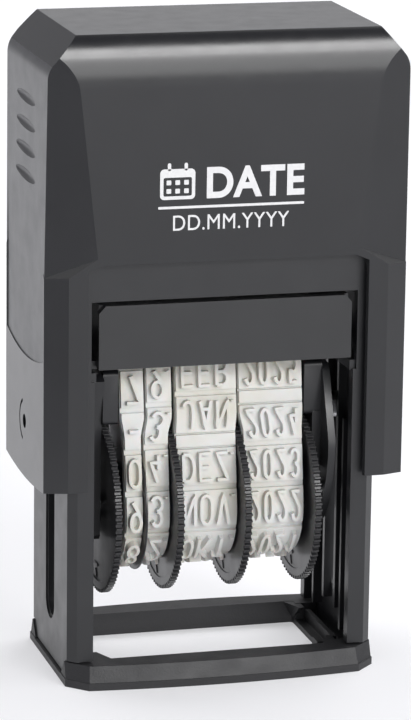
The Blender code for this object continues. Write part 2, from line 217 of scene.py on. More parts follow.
def mirrored(half):
    """A whole outline from its right half."""
    return half + [(-u, v) for u, v in reversed(half)]


def tidy(form):
    """Merges doubled points and flat neighbouring faces, and turns every face outward."""
    bmesh.ops.remove_doubles(form, verts=form.verts[:], dist=2e-6)
    bmesh.ops.dissolve_limit(
        form, angle_limit=math.radians(0.4), verts=form.verts[:], edges=form.edges[:],
        delimit={"MATERIAL"},
    )
    face_out(form)


def block(name, low, high, planes=(), inset=0.0):
    """A box between two corners, cut back by planes given as (point, outward direction)."""
    low, high = Vector(low), Vector(high)
    form = bmesh.new()
    bmesh.ops.create_cube(form, size=1)
    size = Matrix.Diagonal((high - low) * MM).to_4x4()
    form.transform(Matrix.Translation((low + high) / 2 * MM) @ size)
    for point, outward in planes:
        outward = Vector(outward).normalized()
        place = (Vector(point) - outward * inset) * MM
        cut = bmesh.ops.bisect_plane(
            form, geom=form.verts[:] + form.edges[:] + form.faces[:],
            plane_co=place, plane_no=outward, clear_outer=True, dist=1e-7,
        )
        rim = [edge for edge in cut["geom_cut"] if isinstance(edge, bmesh.types.BMEdge)]
        if rim:
            bmesh.ops.contextual_create(form, geom=rim)
    face_out(form)
    return from_form(name, form)


def prism(name, loops, along, start, end):
    """A solid from start to end along an axis: the first loop is its outline, and the others are holes."""
    curve = bpy.data.curves.new(name, "CURVE")
    curve.dimensions = "2D"
    curve.fill_mode = "BOTH"
    curve.extrude = abs(end - start) / 2 * MM
    for loop in loops:
        spline = curve.splines.new("POLY")
        spline.points.add(len(loop) - 1)
        spline.use_cyclic_u = True
        for point, (u, v) in zip(spline.points, loop):
            point.co = (u * MM, v * MM, 0, 1)
    mesh = mesh_of(new_object(name + "_outline", curve))
    turn = ALONG[along]
    middle = turn.col[2] * (-1 if along == "Y" else 1) * (start + end) / 2 * MM
    mesh.transform(Matrix.Translation(middle) @ turn.to_4x4())
    form = bmesh.new()
    form.from_mesh(mesh)
    tidy(form)
    return from_form(name, form)


def arc(radius, centre, start, end, steps):
    """Points on an arc, from one angle in degrees to another."""
    turns = [math.radians(start + (end - start) * i / steps) for i in range(steps + 1)]
    return [(centre[0] + radius * math.cos(t), centre[1] + radius * math.sin(t)) for t in turns]


def circle(radius, centre=(0.0, 0.0), sides=48):
    """Points round a full circle."""
    return arc(radius, centre, 0, 360 * (sides - 1) / sides, sides - 1)


def rounded(low, high, radius, steps=5):
    """A rectangle's outline with round corners."""
    (a, b), (c, d) = low, high
    r = radius
    return (
        arc(r, (c - r, d - r), 0, 90, steps)
        + arc(r, (a + r, d - r), 90, 180, steps)
        + arc(r, (a + r, b + r), 180, 270, steps)
        + arc(r, (c - r, b + r), 270, 360, steps)
    )


def upright_slot(half_width, low, high):
    """The outline of a slot with round ends, from its lowest point to its highest."""
    r = half_width
    return arc(r, (0, high - r), 0, 180, 16) + arc(r, (0, low + r), 180, 360, 16)


def combine(thing, operation, *others):
    """Joins a piece with others or cuts them out of it, and removes them."""
    for other in others:
        modifier = thing.modifiers.new(other.name, "BOOLEAN")
        modifier.operation = operation
        modifier.solver = "EXACT"
        modifier.object = other
    mesh = evaluated_mesh(thing)
    thing.modifiers.clear()
    thing.data = mesh
    for other in others:
        bpy.data.objects.remove(other)
    form = bmesh.new()
    form.from_mesh(mesh)
    tidy(form)
    form.to_mesh(mesh)
    form.free()


def add(thing, *others):
    """Joins a piece with others."""
    combine(thing, "UNION", *others)


def cut(thing, *others):
    """Cuts others out of a piece."""
    combine(thing, "DIFFERENCE", *others)


def soften(thing, width, segments=2, angle=32):
    """Rounds a piece's edges and shades it smooth."""
    thing.data.shade_smooth()
    thing.data.set_sharp_from_angle(angle=math.radians(angle))
    bevel = thing.modifiers.new("edges", "BEVEL")
    bevel.width = width * MM
    bevel.segments = segments
    bevel.limit_method = "ANGLE"
    bevel.angle_limit = math.radians(angle)
    bevel.miter_outer = "MITER_ARC"
    bevel.use_clamp_overlap = True
    bevel.harden_normals = True


def place(thing, body, nodes, look, slot):
    """Gives a piece its material and puts it on its body, in the place of CAD nodes."""
    if look:
        thing.data.materials.clear()
        thing.data.materials.append(look)
    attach(thing, body)
    if nodes:
        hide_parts(*nodes)


# -------- materials


class Look:
    """A Principled material with helpers for its procedural detail."""

    def __init__(self, name, colour, roughness, metallic=0.0, specular=0.5):
        self.material = bpy.data.materials.new(name)
        self.material.use_nodes = True
        self.nodes = self.material.node_tree.nodes
        self.links = self.material.node_tree.links
        self.shader = self.nodes["Principled BSDF"]
        self.shader.inputs["Base Color"].default_value = (*colour, 1)
        self.shader.inputs["Roughness"].default_value = roughness
        self.shader.inputs["Metallic"].default_value = metallic
        self.shader.inputs["Specular IOR Level"].default_value = specular
        self.place = self.nodes.new("ShaderNodeTexCoord").outputs["Object"]

    def noise(self, size, detail=3.0):
        """Noise whose features are about this many millimetres across."""
        noise = self.nodes.new("ShaderNodeTexNoise")
        noise.inputs["Scale"].default_value = 1 / (size * MM)
        noise.inputs["Detail"].default_value = detail
        self.links.new(self.place, noise.inputs["Vector"])
        return noise.outputs["Fac"]

    def spread(self, value, low, high):
        """A noise value stretched to run from low to high."""
        spread = self.nodes.new("ShaderNodeMapRange")
        spread.inputs["From Min"].default_value = 0.3
        spread.inputs["From Max"].default_value = 0.7
        spread.inputs["To Min"].default_value = low
        spread.inputs["To Max"].default_value = high
        self.links.new(value, spread.inputs["Value"])
        return spread.outputs["Result"]

    def tint(self, value, first, second):
        """Base colour that runs between two colours as a value goes from 0 to 1."""
        mix = self.nodes.new("ShaderNodeMix")
        mix.data_type = "RGBA"
        mix.inputs["A"].default_value = (*first, 1)
        mix.inputs["B"].default_value = (*second, 1)
        self.links.new(value, mix.inputs["Factor"])
        self.links.new(mix.outputs["Result"], self.shader.inputs["Base Color"])

    def bump(self, value, depth):
        """Raises the surface by a value, depth millimetres for a value of 1."""
        bump = self.nodes.new("ShaderNodeBump")
        bump.inputs["Strength"].default_value = 1.0
        bump.inputs["Distance"].default_value = depth * MM
        self.links.new(value, bump.inputs["Height"])
        self.links.new(bump.outputs["Normal"], self.shader.inputs["Normal"])

    def rough(self, value, low, high):
        """Roughness that follows a noise value, from low to high."""
        self.links.new(self.spread(value, low, high), self.shader.inputs["Roughness"])


def moulded(name, colour, roughness, grain, grain_depth, spread):
    """Moulded plastic: a little uneven in colour and gloss, with a grain of a given size and depth."""
    look = Look(name, colour, roughness)
    darker = tuple(c * 0.82 for c in colour)
    look.tint(look.spread(look.noise(9.0), 0.0, 1.0), darker, colour)
    look.rough(look.noise(2.6, 5.0), roughness - spread, roughness + spread)
    look.bump(look.noise(grain), grain_depth)
    return look.material


def make_looks():
    """The materials by the names that the pieces ask for."""
    looks = {
        "hood": moulded("charcoal_gloss", (0.0125, 0.013, 0.015), 0.20, 4.0, 0.006, 0.02),
        "grip": moulded("charcoal_matt_grip", (0.060, 0.061, 0.066), 0.33, 0.16, 0.012, 0.03),
        "frame": moulded("black_satin", (0.014, 0.0145, 0.0165), 0.33, 0.7, 0.004, 0.04),
        "foot": moulded("black_textured", (0.016, 0.016, 0.018), 0.50, 0.25, 0.030, 0.05),
        "tray": moulded("tray_black", (0.019, 0.0195, 0.021), 0.32, 1.2, 0.003, 0.03),
        "wheel": moulded("wheel_black", (0.020, 0.020, 0.022), 0.32, 0.3, 0.004, 0.04),
    }
    rubber = Look("band_rubber_white", (0.66, 0.66, 0.64), 0.55)
    stain = rubber.spread(rubber.noise(6.5, 4.0), -0.35, 1.0)
    rubber.tint(stain, (0.67, 0.67, 0.655), (0.60, 0.58, 0.51))
    rubber.rough(rubber.noise(1.0), 0.45, 0.65)
    rubber.bump(rubber.noise(0.25), 0.010)
    rubber.shader.inputs["Subsurface Weight"].default_value = 0.12
    rubber.shader.inputs["Subsurface Scale"].default_value = 0.0006
    looks["rubber"] = rubber.material
    steel = Look("drawn_steel", (0.60, 0.60, 0.62), 0.28, metallic=1.0)
    steel.rough(steel.noise(0.8, 5.0), 0.2, 0.4)
    steel.bump(steel.noise(0.12), 0.002)
    looks["steel"] = steel.material
    felt = Look("inked_felt", (0.012, 0.012, 0.016), 0.95)
    felt.tint(felt.spread(felt.noise(1.5), 0.0, 1.0), (0.010, 0.010, 0.014), (0.026, 0.026, 0.032))
    felt.bump(felt.noise(0.2, 6.0), 0.06)
    looks["felt"] = felt.material
    ink = Look("white_print", (0.70, 0.70, 0.70), 0.45)
    ink.tint(ink.spread(ink.noise(0.5), 0.0, 1.0), (0.70, 0.70, 0.70), (0.64, 0.64, 0.65))
    ink.bump(ink.noise(0.3), 0.004)
    looks["print"] = ink.material
    return looks


# -------- hood


def shoulder_planes(side):
    """One side's slight inward lean, its sloping shoulder and the round edge between the two."""
    outward = Vector((SHOULDER_DROP, HOOD.x - TOP_HALF_WIDTH)).normalized()
    radius = SHOULDER_RADIUS
    centre_x = HOOD.x - SIDE_LEAN - radius
    reach = outward.dot(Vector((TOP_HALF_WIDTH, HOOD.z)))
    centre_z = (reach - radius - outward.x * centre_x) / outward.y
    planes = [
        ((side * TOP_HALF_WIDTH, 0, HOOD.z), (side * outward.x, 0, outward.y)),
        ((side * HOOD.x, 0, LEAN_FOOT), (side * (centre_z - LEAN_FOOT), 0, SIDE_LEAN)),
    ]
    steepest = math.degrees(math.atan2(outward.y, outward.x))
    for i in range(1, 8):
        t = math.radians(steepest * i / 8)
        point = (side * (centre_x + radius * math.cos(t)), 0, centre_z + radius * math.sin(t))
        planes.append((point, (side * math.cos(t), 0, math.sin(t))))
    return planes


def hood_planes():
    """The shoulders, the round front and back top edges, and the corner facets."""
    planes = []
    for side in (-1, 1):
        planes += shoulder_planes(side)
        out, up = TOP_ROUND
        for i in range(TOP_ROUND_STEPS + 1):
            share = i / TOP_ROUND_STEPS
            t = math.radians(TOP_ROUND_START + (TOP_ROUND_END - TOP_ROUND_START) * share)
            y = side * (TOP_ROUND_CENTRE[0] + out * math.cos(t))
            z = TOP_ROUND_CENTRE[1] + up * math.sin(t)
            planes.append(((0, y, z), (0, side * math.cos(t) / out, math.sin(t) / up)))
        for end in (-1, 1):
            foot = Vector((side * FACET_FOOT_X, end * HOOD.y, LEG_TOP))
            head = Vector((side * FACET_HEAD_X, end * HOOD.y, FACET_HEAD))
            edge = Vector((side * HOOD.x, end * FACET_Y, LEG_TOP))
            outward = (head - foot).cross(edge - foot)
            planes.append((foot, outward if outward.y * end > 0 else -outward))
    return planes


def leg_planes():
    """The upright facets at the corners of the hood's legs."""
    planes = []
    for side in (-1, 1):
        for end in (-1, 1):
            point = (side * LEG_FACET_X, end * HOOD.y, 0)
            planes.append((point, (side * (HOOD.y - FACET_Y), end * (HOOD.x - LEG_FACET_X), 0)))
    return planes


def ledge_planes():
    """The small slopes between the corner facets and the legs."""
    planes = []
    for side in (-1, 1):
        for end in (-1, 1):
            inner = Vector((side * FACET_FOOT_X, end * HOOD.y, LEG_TOP))
            outer = Vector((side * LEG_FACET_X, end * HOOD.y, LEG_TOP - LEDGE_DROP))
            upward = (outer - inner).cross(Vector((0, end, -1)))
            planes.append((inner, upward if upward.z > 0 else -upward))
    return planes


def sagging(half_depth, ends, sag, steps=16):
    """Points on a shallow arc that hangs lowest in the middle."""
    points = []
    for i in range(steps + 1):
        y = half_depth * (2 * i / steps - 1)
        points.append((y, ends - sag * (1 - (y / half_depth) ** 2)))
    return points


def grip_outline():
    """The outline of the matt grip area on each side of the hood."""
    corner = 2.0
    y, z = GRIP_HALF_DEPTH - corner, GRIP_TOP - corner
    top = arc(corner, (y, z), 0, 90, 8) + arc(corner, (-y, z), 90, 180, 8)
    return sagging(GRIP_HALF_DEPTH, GRIP_BOTTOM, GRIP_SAG) + top


def ellipsoid(name, centre, radii):
    """A ball stretched to three radii."""
    form = bmesh.new()
    bmesh.ops.create_uvsphere(form, u_segments=24, v_segments=16, radius=1)
    stretch = Matrix.Diagonal(Vector(radii) * MM).to_4x4()
    form.transform(Matrix.Translation(Vector(centre) * MM) @ stretch)
    return from_form(name, form)


def hood_shell():
    """The hollow hood without its side details, and the inner corner of its walls."""
    width, depth, wall = HOOD.x, HOOD.y, HOOD_WALL
    inner = Vector((width - wall, depth - wall, HOOD.z - wall))
    shell = block("hood", (-width, -depth, 50), (width, depth, HOOD.z), hood_planes())
    leg_head = (width, depth, LEG_TOP + 0.2)
    add(shell, block("legs", (-width, -depth, LEG_BOTTOM), leg_head, leg_planes() + ledge_planes()))
    room_head = (inner.x, inner.y, LEG_TOP - 3)
    cut(
        shell,
        block("hollow", (-inner.x, -inner.y, 49), inner, hood_planes(), wall),
        block("leg_hollow", (-inner.x, -inner.y, 20), room_head, leg_planes(), wall),
    )
    across, down = CUTOUT_CORNER
    half = [(CUTOUT_HALF_WIDTH, 15), (CUTOUT_HALF_WIDTH, CUTOUT_TOP - down)]
    half.append((CUTOUT_HALF_WIDTH - across, CUTOUT_TOP))
    cutout = mirrored(half)
    hem = [(-13, 15), (13, 15)] + sagging(depth + 0.1, 24.4, 0.85)[::-1]
    cut(shell, prism("cutout", [cutout], "Y", -20, 20), prism("hem", [hem], "X", -30, 30))
    return shell, inner


def hood():
    """The pressing hood, with its pin bosses, latch marks, grip areas and spring pegs."""
    shell, inner = hood_shell()
    width = HOOD.x
    centre = (0.0, PIVOT_Z)
    latch = arc(2.75, centre, -68, 68, 16) + arc(2.35, centre, 68, -68, 16)
    for side in (-1, 1):
        boss = circle(PIN_BOSS_RADIUS, centre)
        add(shell, prism("boss", [boss], "X", side * 19.1, side * (inner.x + 0.3)))
        bore = circle(PIN_BORE_RADIUS, centre)
        cut(
            shell,
            prism("bore", [bore], "X", side * 18, side * (inner.x + 0.35)),
            prism("hole", [circle(0.85, centre, 24)], "X", side * 20, side * 24),
            prism("latch", [latch], "X", side * (width - 0.45), side * (width + 2)),
            prism("grip", [grip_outline()], "X", side * (width - GRIP_RECESS), side * (width + 2)),
        )
        grooves = [ellipsoid("groove", (side * width, 0.25, z), GROOVE_RADII) for z in GROOVE_HEIGHTS]
        cut(shell, *grooves)
        peg = circle(PEG_RADIUS, (side * SPRING_X, 0), 24)
        add(shell, prism("peg", [peg], "Z", inner.z - 4, inner.z + 0.3))
    shell.data.materials.clear()
    shell.data.materials.append(LOOKS["hood"])
    shell.data.materials.append(LOOKS["grip"])
    for face in shell.data.polygons:
        x, y, z = (abs(c) / MM for c in face.center)
        on_side = width - 0.7 < x < width - GRIP_RECESS / 2 and y < GRIP_HALF_DEPTH
        face.material_index = int(on_side and z > GRIP_BOTTOM - GRIP_SAG)
    soften(shell, 0.16, 2, 12)
    place(shell, "hood", ["hood_shell"], None, "hood_plastic")


def words(text, low, high, bold=0.0):
    """Flat printed characters on the hood's front that fill a rectangle in X and Z."""
    curve = bpy.data.curves.new("words", "FONT")
    curve.body = text
    curve.extrude = 0.05
    curve.offset = bold
    curve.space_character = 1.05
    form = bmesh.new()
    form.from_mesh(mesh_of(new_object("words", curve)))
    bmesh.ops.remove_doubles(form, verts=form.verts[:], dist=1e-5)
    xs = [vertex.co.x for vertex in form.verts]
    ys = [vertex.co.y for vertex in form.verts]
    left, bottom = min(xs), min(ys)
    wide, tall = max(xs) - left, max(ys) - bottom
    for vertex in form.verts:
        u, v = (vertex.co.x - left) / wide, (vertex.co.y - bottom) / tall
        x, z = low[0] + u * (high[0] - low[0]), low[1] + v * (high[1] - low[1])
        y = INK_FRONT if vertex.co.z > 0 else INK_BACK
        vertex.co = Vector((x, y, z)) * MM
    face_out(form)
    return from_form("words", form)


def hood_print():
    """A plain printed mark on the hood's front: a calendar sheet and a word, a line and a second row."""
    left, low = -8.6, 59.0
    sheet = rounded((left, low), (left + 4.2, low + 3.6), 0.5)
    page = rounded((left + 0.4, low + 0.4), (left + 3.8, low + 2.6), 0.2)
    shapes = [[sheet, page]]
    for x in (left + 1.1, left + 3.1):
        shapes.append([rounded((x - 0.2, low + 3.4), (x + 0.2, low + 4.3), 0.18)])
    for row in range(2):
        for column in range(3):
            x, z = left + 1.05 + 1.05 * column, low + 2.0 - 1.0 * row
            shapes.append([rounded((x - 0.28, z - 0.28), (x + 0.28, z + 0.28), 0.08, 2)])
    shapes.append([rounded((-8.8, 57.9), (8.8, 58.2), 0.1, 2)])
    marks = [prism("mark", loops, "Y", INK_FRONT, INK_BACK) for loops in shapes]
    marks.append(words("DATE", (left + 5.6, low), (8.8, low + 3.7), 0.03))
    marks.append(words("DD.MM.YYYY", (-7.0, 55.3), (7.0, 57.1)))
    place(join("hood_print", marks), "hood", [], LOOKS["print"], "hood_plastic")


def join(name, things):
    """One object that holds several separate closed forms."""
    form = bmesh.new()
    for thing in things:
        form.from_mesh(thing.data)
        bpy.data.objects.remove(thing)
    return from_form(name, form)


# -------- frame, foot and ink tray


def pillar_seat(word, side):
    """The shallow notches where the frame's corners stand on the foot."""
    outline = mirrored([(11, 0.5), (11, 2.95), (8.4, 2.95), (7.0, 1.05)])
    low, high = sorted((side * (FRAME.x - PILLAR_SKIN - 0.1), side * 25))
    return prism("seat_" + word, [outline], "X", low, high)


def frame_piece():
    """The upright frame: two slotted pillars, the deck over the ink tray's way and the spring pegs."""
    width, depth = FRAME.x, FRAME.y
    chamfer = 1.0
    outline = [
        (chamfer - width, -depth), (width - chamfer, -depth),
        (width, chamfer - depth), (width, depth - chamfer),
        (width - chamfer, depth), (chamfer - width, depth),
        (-width, depth - chamfer), (-width, chamfer - depth),
    ]
    body = prism("frame_body", [outline], "Z", 1.05, FRAME.z)
    inner = width - PILLAR_WIDTH
    channel = width - PILLAR_SKIN
    flange = depth - PILLAR_SKIN
    skin = depth - FLANGE_SKIN
    low, high = PAD_WINDOW
    slot = upright_slot(SLOT_HALF_WIDTH, *SLOT)
    cut(
        body,
        block("window", (-inner, -20, -1), (inner, 20, low)),
        block("channels", (-channel, -flange, -1), (channel, flange, low + 1)),
        block("base", (-channel, -20, -1), (channel, 20, 3.0)),
        block("pad_way", (-PAD_WAY, -20, low - 1), (PAD_WAY, 20, high)),
        block("pad_room", (-channel, -skin, low), (channel, skin, DECK[0])),
        block("spring_room", (-channel, -skin, DECK[1]), (channel, skin, 60)),
        pillar_seat("left", -1),
        pillar_seat("right", 1),
    )
    into_wall = channel + 0.2
    for side in (-1, 1):
        lows, highs = sorted((side * 15.5, side * into_wall))
        add(body, block("ledge", (lows, 0.5 - depth, low - 1.2), (highs, depth - 0.5, low)))
        for end in (-1, 1):
            edge = sorted((end * SLOT_HALF_WIDTH, end * (SLOT_HALF_WIDTH + 0.75)))
            rib_x = sorted((side * (inner + 0.55), side * into_wall))
            add(body, block("rib", (rib_x[0], edge[0], 5.2), (rib_x[1], edge[1], 36.5)))
            edge = sorted((end * 5.3, end * 5.9))
            rib_x = sorted((side * (inner + 0.25), side * into_wall))
            add(body, block("guide", (rib_x[0], edge[0], 3.4), (rib_x[1], edge[1], 30)))
        peg = circle(PEG_RADIUS, (side * SPRING_X, 0), 24)
        add(body, prism("peg", [peg], "Z", DECK[1] - 0.3, DECK[1] + 2.6))
    cut(body, prism("slots", [slot], "X", -30, 30))
    rim = [upright_slot(SLOT_HALF_WIDTH + SLOT_RIM, SLOT[0] - SLOT_RIM, SLOT[1] + SLOT_RIM)]
    for side in (-1, 1):
        cut(body, prism("slot_rim", rim, "X", side * (width - 0.25), side * (width + 1)))
    soften(body, 0.14, 2)
    place(body, "frame", ["frame"], LOOKS["frame"], "frame_plastic")


def foot_planes():
    """The foot's bowed front and back, its cut corners and the slant of its textured band."""
    width, depth = FOOT.x, FOOT.y
    corner_cut, corner_depth, rim, slant = 2.36, 11.9, 0.9, 0.7
    chord = width - corner_cut
    bulge = depth - corner_depth
    radius = (chord**2 + bulge**2) / (2 * bulge)
    slanted, upright = [], []
    for end in (-1, 1):
        for step in range(-12, 13):
            x = chord * step / 12.5
            t = math.asin(x / radius)
            y = end * (depth - radius * (1 - math.cos(t)))
            upright.append(((x, y, 0), (math.sin(t), end * math.cos(t), 0)))
            lean = slant / (FOOT.z - rim)
            slanted.append(((x, y - end * 0.12, rim), (math.sin(t), end * math.cos(t), lean)))
        for side in (-1, 1):
            upright.append(((side * chord, end * corner_depth, 0), (side, end, 0)))
            slanted.append(((side * (chord - 0.1), end * (corner_depth - 0.1), rim), (side, end, 0.45)))
    return upright, slanted, rim


def hull(name, points):
    """The smallest bulging solid that holds the points."""
    form = bmesh.new()
    for point in points:
        form.verts.new(Vector(point) * MM)
    bmesh.ops.convex_hull(form, input=form.verts[:])
    face_out(form)
    return from_form(name, form)


def foot_piece():
    """The foot: a rim under a textured band, with a window for the print and seats for the frame."""
    width, depth = FOOT.x, FOOT.y
    upright, slanted, rim = foot_planes()
    ring = block("foot_ring", (-width, -depth, 0), (width, depth, rim), upright)
    band_width = width - 0.1
    low, high = (-band_width, -depth, rim - 0.2), (band_width, depth, FOOT.z)
    add(ring, block("foot_band", low, high, slanted))
    opening = rounded((-14.4, -8.6), (14.4, 8.6), 0.4, 2)
    cut(ring, prism("print_window", [opening], "Z", -5, 10))
    for side in (-1, 1):
        lows, highs = sorted((side * (FRAME.x - PILLAR_SKIN - 0.15), side * 25))
        outline = [(-8.3, 10), (8.3, 10), (8.3, 2.75), (6.85, 0.8), (-6.85, 0.8), (-8.3, 2.75)]
        cut(ring, prism("tab_seat", [outline], "X", lows, highs))
        pocket_x = sorted((side * 14.0, side * 17.2))
        cut(ring, block("pocket", (pocket_x[0], -7.4, 0.7), (pocket_x[1], 7.4, 5)))
        rib_x = sorted((side * 15.6, side * 16.2))
        stop_x = sorted((side * 13.8, side * 14.7))
        add(ring, block("rib", (rib_x[0], -4.2, 0.5), (rib_x[1], 7.0, 2.1)))
        add(ring, block("rib_stop", (stop_x[0], -4.2, 0.2), (stop_x[1], -2.0, 1.5)))
        for end in (-1, 1):
            top = [(13.2, 8.5), (14.4, 5.7), (15.1, 5.7), (15.1, 9.2), (13.2, 9.2)]
            points = [(side * x, end * y, FOOT.z - 0.05) for x, y in top]
            points += [(side * 14.35, end * 8.55, 0.5), (side * 15.1, end * 9.2, 0.5)]
            add(ring, hull("gusset", points))
    soften(ring, 0.12, 2)
    place(ring, "frame", ["foot"], LOOKS["foot"], "foot_plastic")


def ink_tray():
    """The slide-out ink tray and the felt pad in it."""
    low, high = PAD_WINDOW
    tray = block("tray", (-15.2, -9.2, low + 0.5), (15.2, TRAY.y, high - 0.5))
    plate = mirrored([(15.4, low + 0.5), (15.4, 45.5), (14.6, 46.35)])
    add(
        tray,
        prism("plate", [plate], "Y", TRAY_LOW.y, TRAY_LOW.y + 1.1),
        block("runners", (-TRAY.x, -8.6, low + 0.3), (TRAY.x, TRAY.y, low + 1.3)),
    )
    cut(
        tray,
        block("felt_room", (-14.3, -8.2, 30), (14.3, 8.4, 45.3)),
        block("back_gap", (-14.3, 8.2, 30), (14.3, 12, 40.4)),
    )
    for z in (40.5, 41.8, 43.1, 44.4):
        cut(tray, block("grip", (-6, TRAY.y - 0.25, z), (6, TRAY.y + 1, z + 0.5)))
    soften(tray, 0.15, 2)
    place(tray, "pad", ["ink_tray"], LOOKS["tray"], "frame_plastic")
    felt = block("felt", (-14.0, -7.9, 40.5), (14.0, 8.1, 45.0))
    soften(felt, 0.5, 3)
    place(felt, "pad", ["ink_felt"], LOOKS["felt"], "ink_felt")


def springs():
    """The two return springs, wound a little closer at their ends."""
    wire, radius, turns, steps = 0.3, 2.4, 8, 32
    low, high = SPRING_LOW.z + wire, SPRING_HIGH.z - wire
    for word, side in (("left", -1), ("right", 1)):
        curve = bpy.data.curves.new("coil_" + word, "CURVE")
        curve.dimensions = "3D"
        curve.bevel_depth = wire * MM
        curve.bevel_resolution = 3
        curve.use_fill_caps = True
        spline = curve.splines.new("POLY")
        count = turns * steps + 1
        spline.points.add(count - 1)
        for i, point in enumerate(spline.points):
            t = 2 * math.pi * i / steps
            share = i / (count - 1)
            eased = share - 0.055 * math.sin(2 * math.pi * share)
            x = side * SPRING_X + radius * math.cos(t)
            point.co = (x * MM, radius * math.sin(t) * MM, (low + (high - low) * eased) * MM, 1)
        form = bmesh.new()
        form.from_mesh(mesh_of(new_object("coil_guide", curve)))
        bmesh.ops.remove_doubles(form, verts=form.verts[:], dist=1e-6)
        face_out(form)
        coil = from_form("coil_" + word, form)
        coil.data.shade_smooth()
        place(coil, "frame", ["return_spring_" + word], LOOKS["steel"], "steel")
        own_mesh(coil)


# -------- carriage, wheels and bands


def carriage():
    """The type carriage: a beam under the bridge, and a cheek at each end that holds the axle."""
    inner = CHEEK_INNER
    body = block("carriage_body", (-inner - 0.2, -1.9, 31.5), (inner + 0.2, 1.9, 36.2))
    pin_hole = circle(PIN_BORE_RADIUS, (0.0, PIVOT_Z))
    holes = [pin_hole, circle(BORE_RADIUS, (0.0, AXLE_Z))]
    for side, half, face, reach in ((-1, LEFT_CHEEK, 14.75, 11.7), (1, RIGHT_CHEEK, 14.35, 11.3)):
        outline = mirrored(half)
        add(body, prism("cheek", [outline, *holes], "X", side * inner, side * face))
        ring = [circle(3.1, (0.0, PIVOT_Z)), pin_hole]
        add(body, prism("pin_ring", ring, "X", side * (face - 0.2), side * 15.3))
        for end in (-1, 1):
            low, high = sorted((end * 2.6, end * CHEEK_PAD_DEPTH))
            shoulder = rounded((low, 30.5), (high, 37.2), 0.6, 3)
            add(body, prism("shoulder", [shoulder], "X", side * reach, side * (inner + 0.1)))
        if side > 0:
            corner = (inner + 0.1, CHEEK_PAD_DEPTH, 30.9)
            pad = block("cheek_pad", (12.4, -CHEEK_PAD_DEPTH, 24.0), corner)
            cut(pad, prism("pin_bore", [pin_hole], "X", 12, 20))
            add(body, pad)
    soften(body, 0.14, 2)
    place(body, "carriage", ["carriage_frame"], LOOKS["frame"], "frame_plastic")


def ridged_rim():
    """The outline of a wheel with square ridges."""
    step = 2 * math.pi / RIDGES
    rim = []
    for i in range(RIDGES):
        for share, height in ((0.0, 0.0), (0.12, RIDGE_HEIGHT), (0.40, RIDGE_HEIGHT), (0.52, 0.0)):
            t = step * (i + share)
            r = WHEEL_RADIUS - RIDGE_HEIGHT + height
            rim.append((r * math.cos(t), AXLE_Z + r * math.sin(t)))
    return rim


def wheel(name):
    """A thumb wheel with square ridges round its rim, a thinner web and a raised pointer on its web."""
    low, high = corners_mm("wheel_" + name)
    band_low, band_high = corners_mm("band_" + name)
    band_on_left = band_low.x + band_high.x < low.x + high.x and name != "day_tens"
    face, hub_end = (high.x, low.x) if band_on_left else (low.x, high.x)
    inward = -1 if band_on_left else 1
    centre = (0.0, AXLE_Z)
    front = face + inward * WEB_RECESS
    back = face + inward * (DISC_THICKNESS - BACK_RECESS)
    body = prism("dial_" + name, [ridged_rim()], "X", face, face + inward * DISC_THICKNESS)
    web = [circle(WEB_RADIUS, centre, 64)]
    past_disc = face + inward * (DISC_THICKNESS + 1)
    cut(body, prism("web", web, "X", face - inward, front), prism("web", web, "X", back, past_disc))
    add(body, prism("hub", [circle(HUB_RADIUS, centre, 48)], "X", face + inward * 0.3, hub_end))
    cut(body, prism("bore", [circle(BORE_RADIUS, centre, 32)], "X", -20, 20))
    left_face = back if band_on_left else front
    pointer = [(-0.5, AXLE_Z - 9.0), (0.5, AXLE_Z - 9.0), (0.0, AXLE_Z - 7.9)]
    bar = rounded((-0.9, AXLE_Z - 7.6), (0.9, AXLE_Z - 7.2), 0.15, 2)
    for shape in (pointer, bar):
        add(body, prism("pointer", [shape], "X", left_face - 0.12, left_face + 0.15))
    soften(body, 0.05, 1)
    place(body, name + "_wheel", ["wheel_" + name], LOOKS["wheel"], "wheel_plastic")


def belt_points(offset):
    """The line of a band round its hub and bridge: down the front, round the hub and up the back."""
    points = circle(BELT_HUB_RADIUS + offset, (0.0, AXLE_Z), 96)
    for side in (-1, 1):
        points += circle(BRIDGE_ROUND + offset, (side * (BRIDGE.y - 0.2), BRIDGE.z - 0.2), 40)
    return [Vector(points[i]) for i in convex_hull_2d([Vector(p) for p in points])]


class Route:
    """Places along a closed line, by the distance from its first point."""

    def __init__(self, points):
        self.points = points + points[:1]
        self.marks = [0.0]
        for a, b in zip(self.points, self.points[1:]):
            self.marks.append(self.marks[-1] + (b - a).length)
        self.length = self.marks[-1]

    def at(self, distance):
        """The place at a distance along the line."""
        distance %= self.length
        for i, mark in enumerate(self.marks[1:]):
            if distance <= mark:
                a, b = self.points[i], self.points[i + 1]
                share = (distance - self.marks[i]) / max(mark - self.marks[i], 1e-9)
                return a.lerp(b, share)
        return self.points[0]

    def where(self, height):
        """The distance at which the front run passes a height."""
        steps = 2000
        for i in range(steps):
            here = self.at(self.length * i / steps)
            there = self.at(self.length * (i + 1) / steps)
            if here.x < 0 and here.y >= height > there.y:
                return self.length * i / steps
        return 0.0


def bent(form, route, centre_distance):
    """Wraps a flat form onto a route: its x stays, its y runs down the band and its z stands out."""
    for vertex in form.verts:
        x, y, z = vertex.co / MM
        here = route.at(centre_distance + y)
        ahead = route.at(centre_distance + y + 0.15)
        behind = route.at(centre_distance + y - 0.15)
        along = (ahead - behind).normalized()
        out = Vector((along.y, -along.x))
        spot = here + out * z
        vertex.co = Vector((x, spot.x, spot.y)) * MM


def bow(centre, radii, start, end):
    """Points on part of an ellipse, from one angle in degrees to another."""
    steps = max(3, round(abs(end - start) / 22))
    turns = [math.radians(start + (end - start) * i / steps) for i in range(steps + 1)]
    return [(centre[0] + radii[0] * math.cos(t), centre[1] + radii[1] * math.sin(t)) for t in turns]


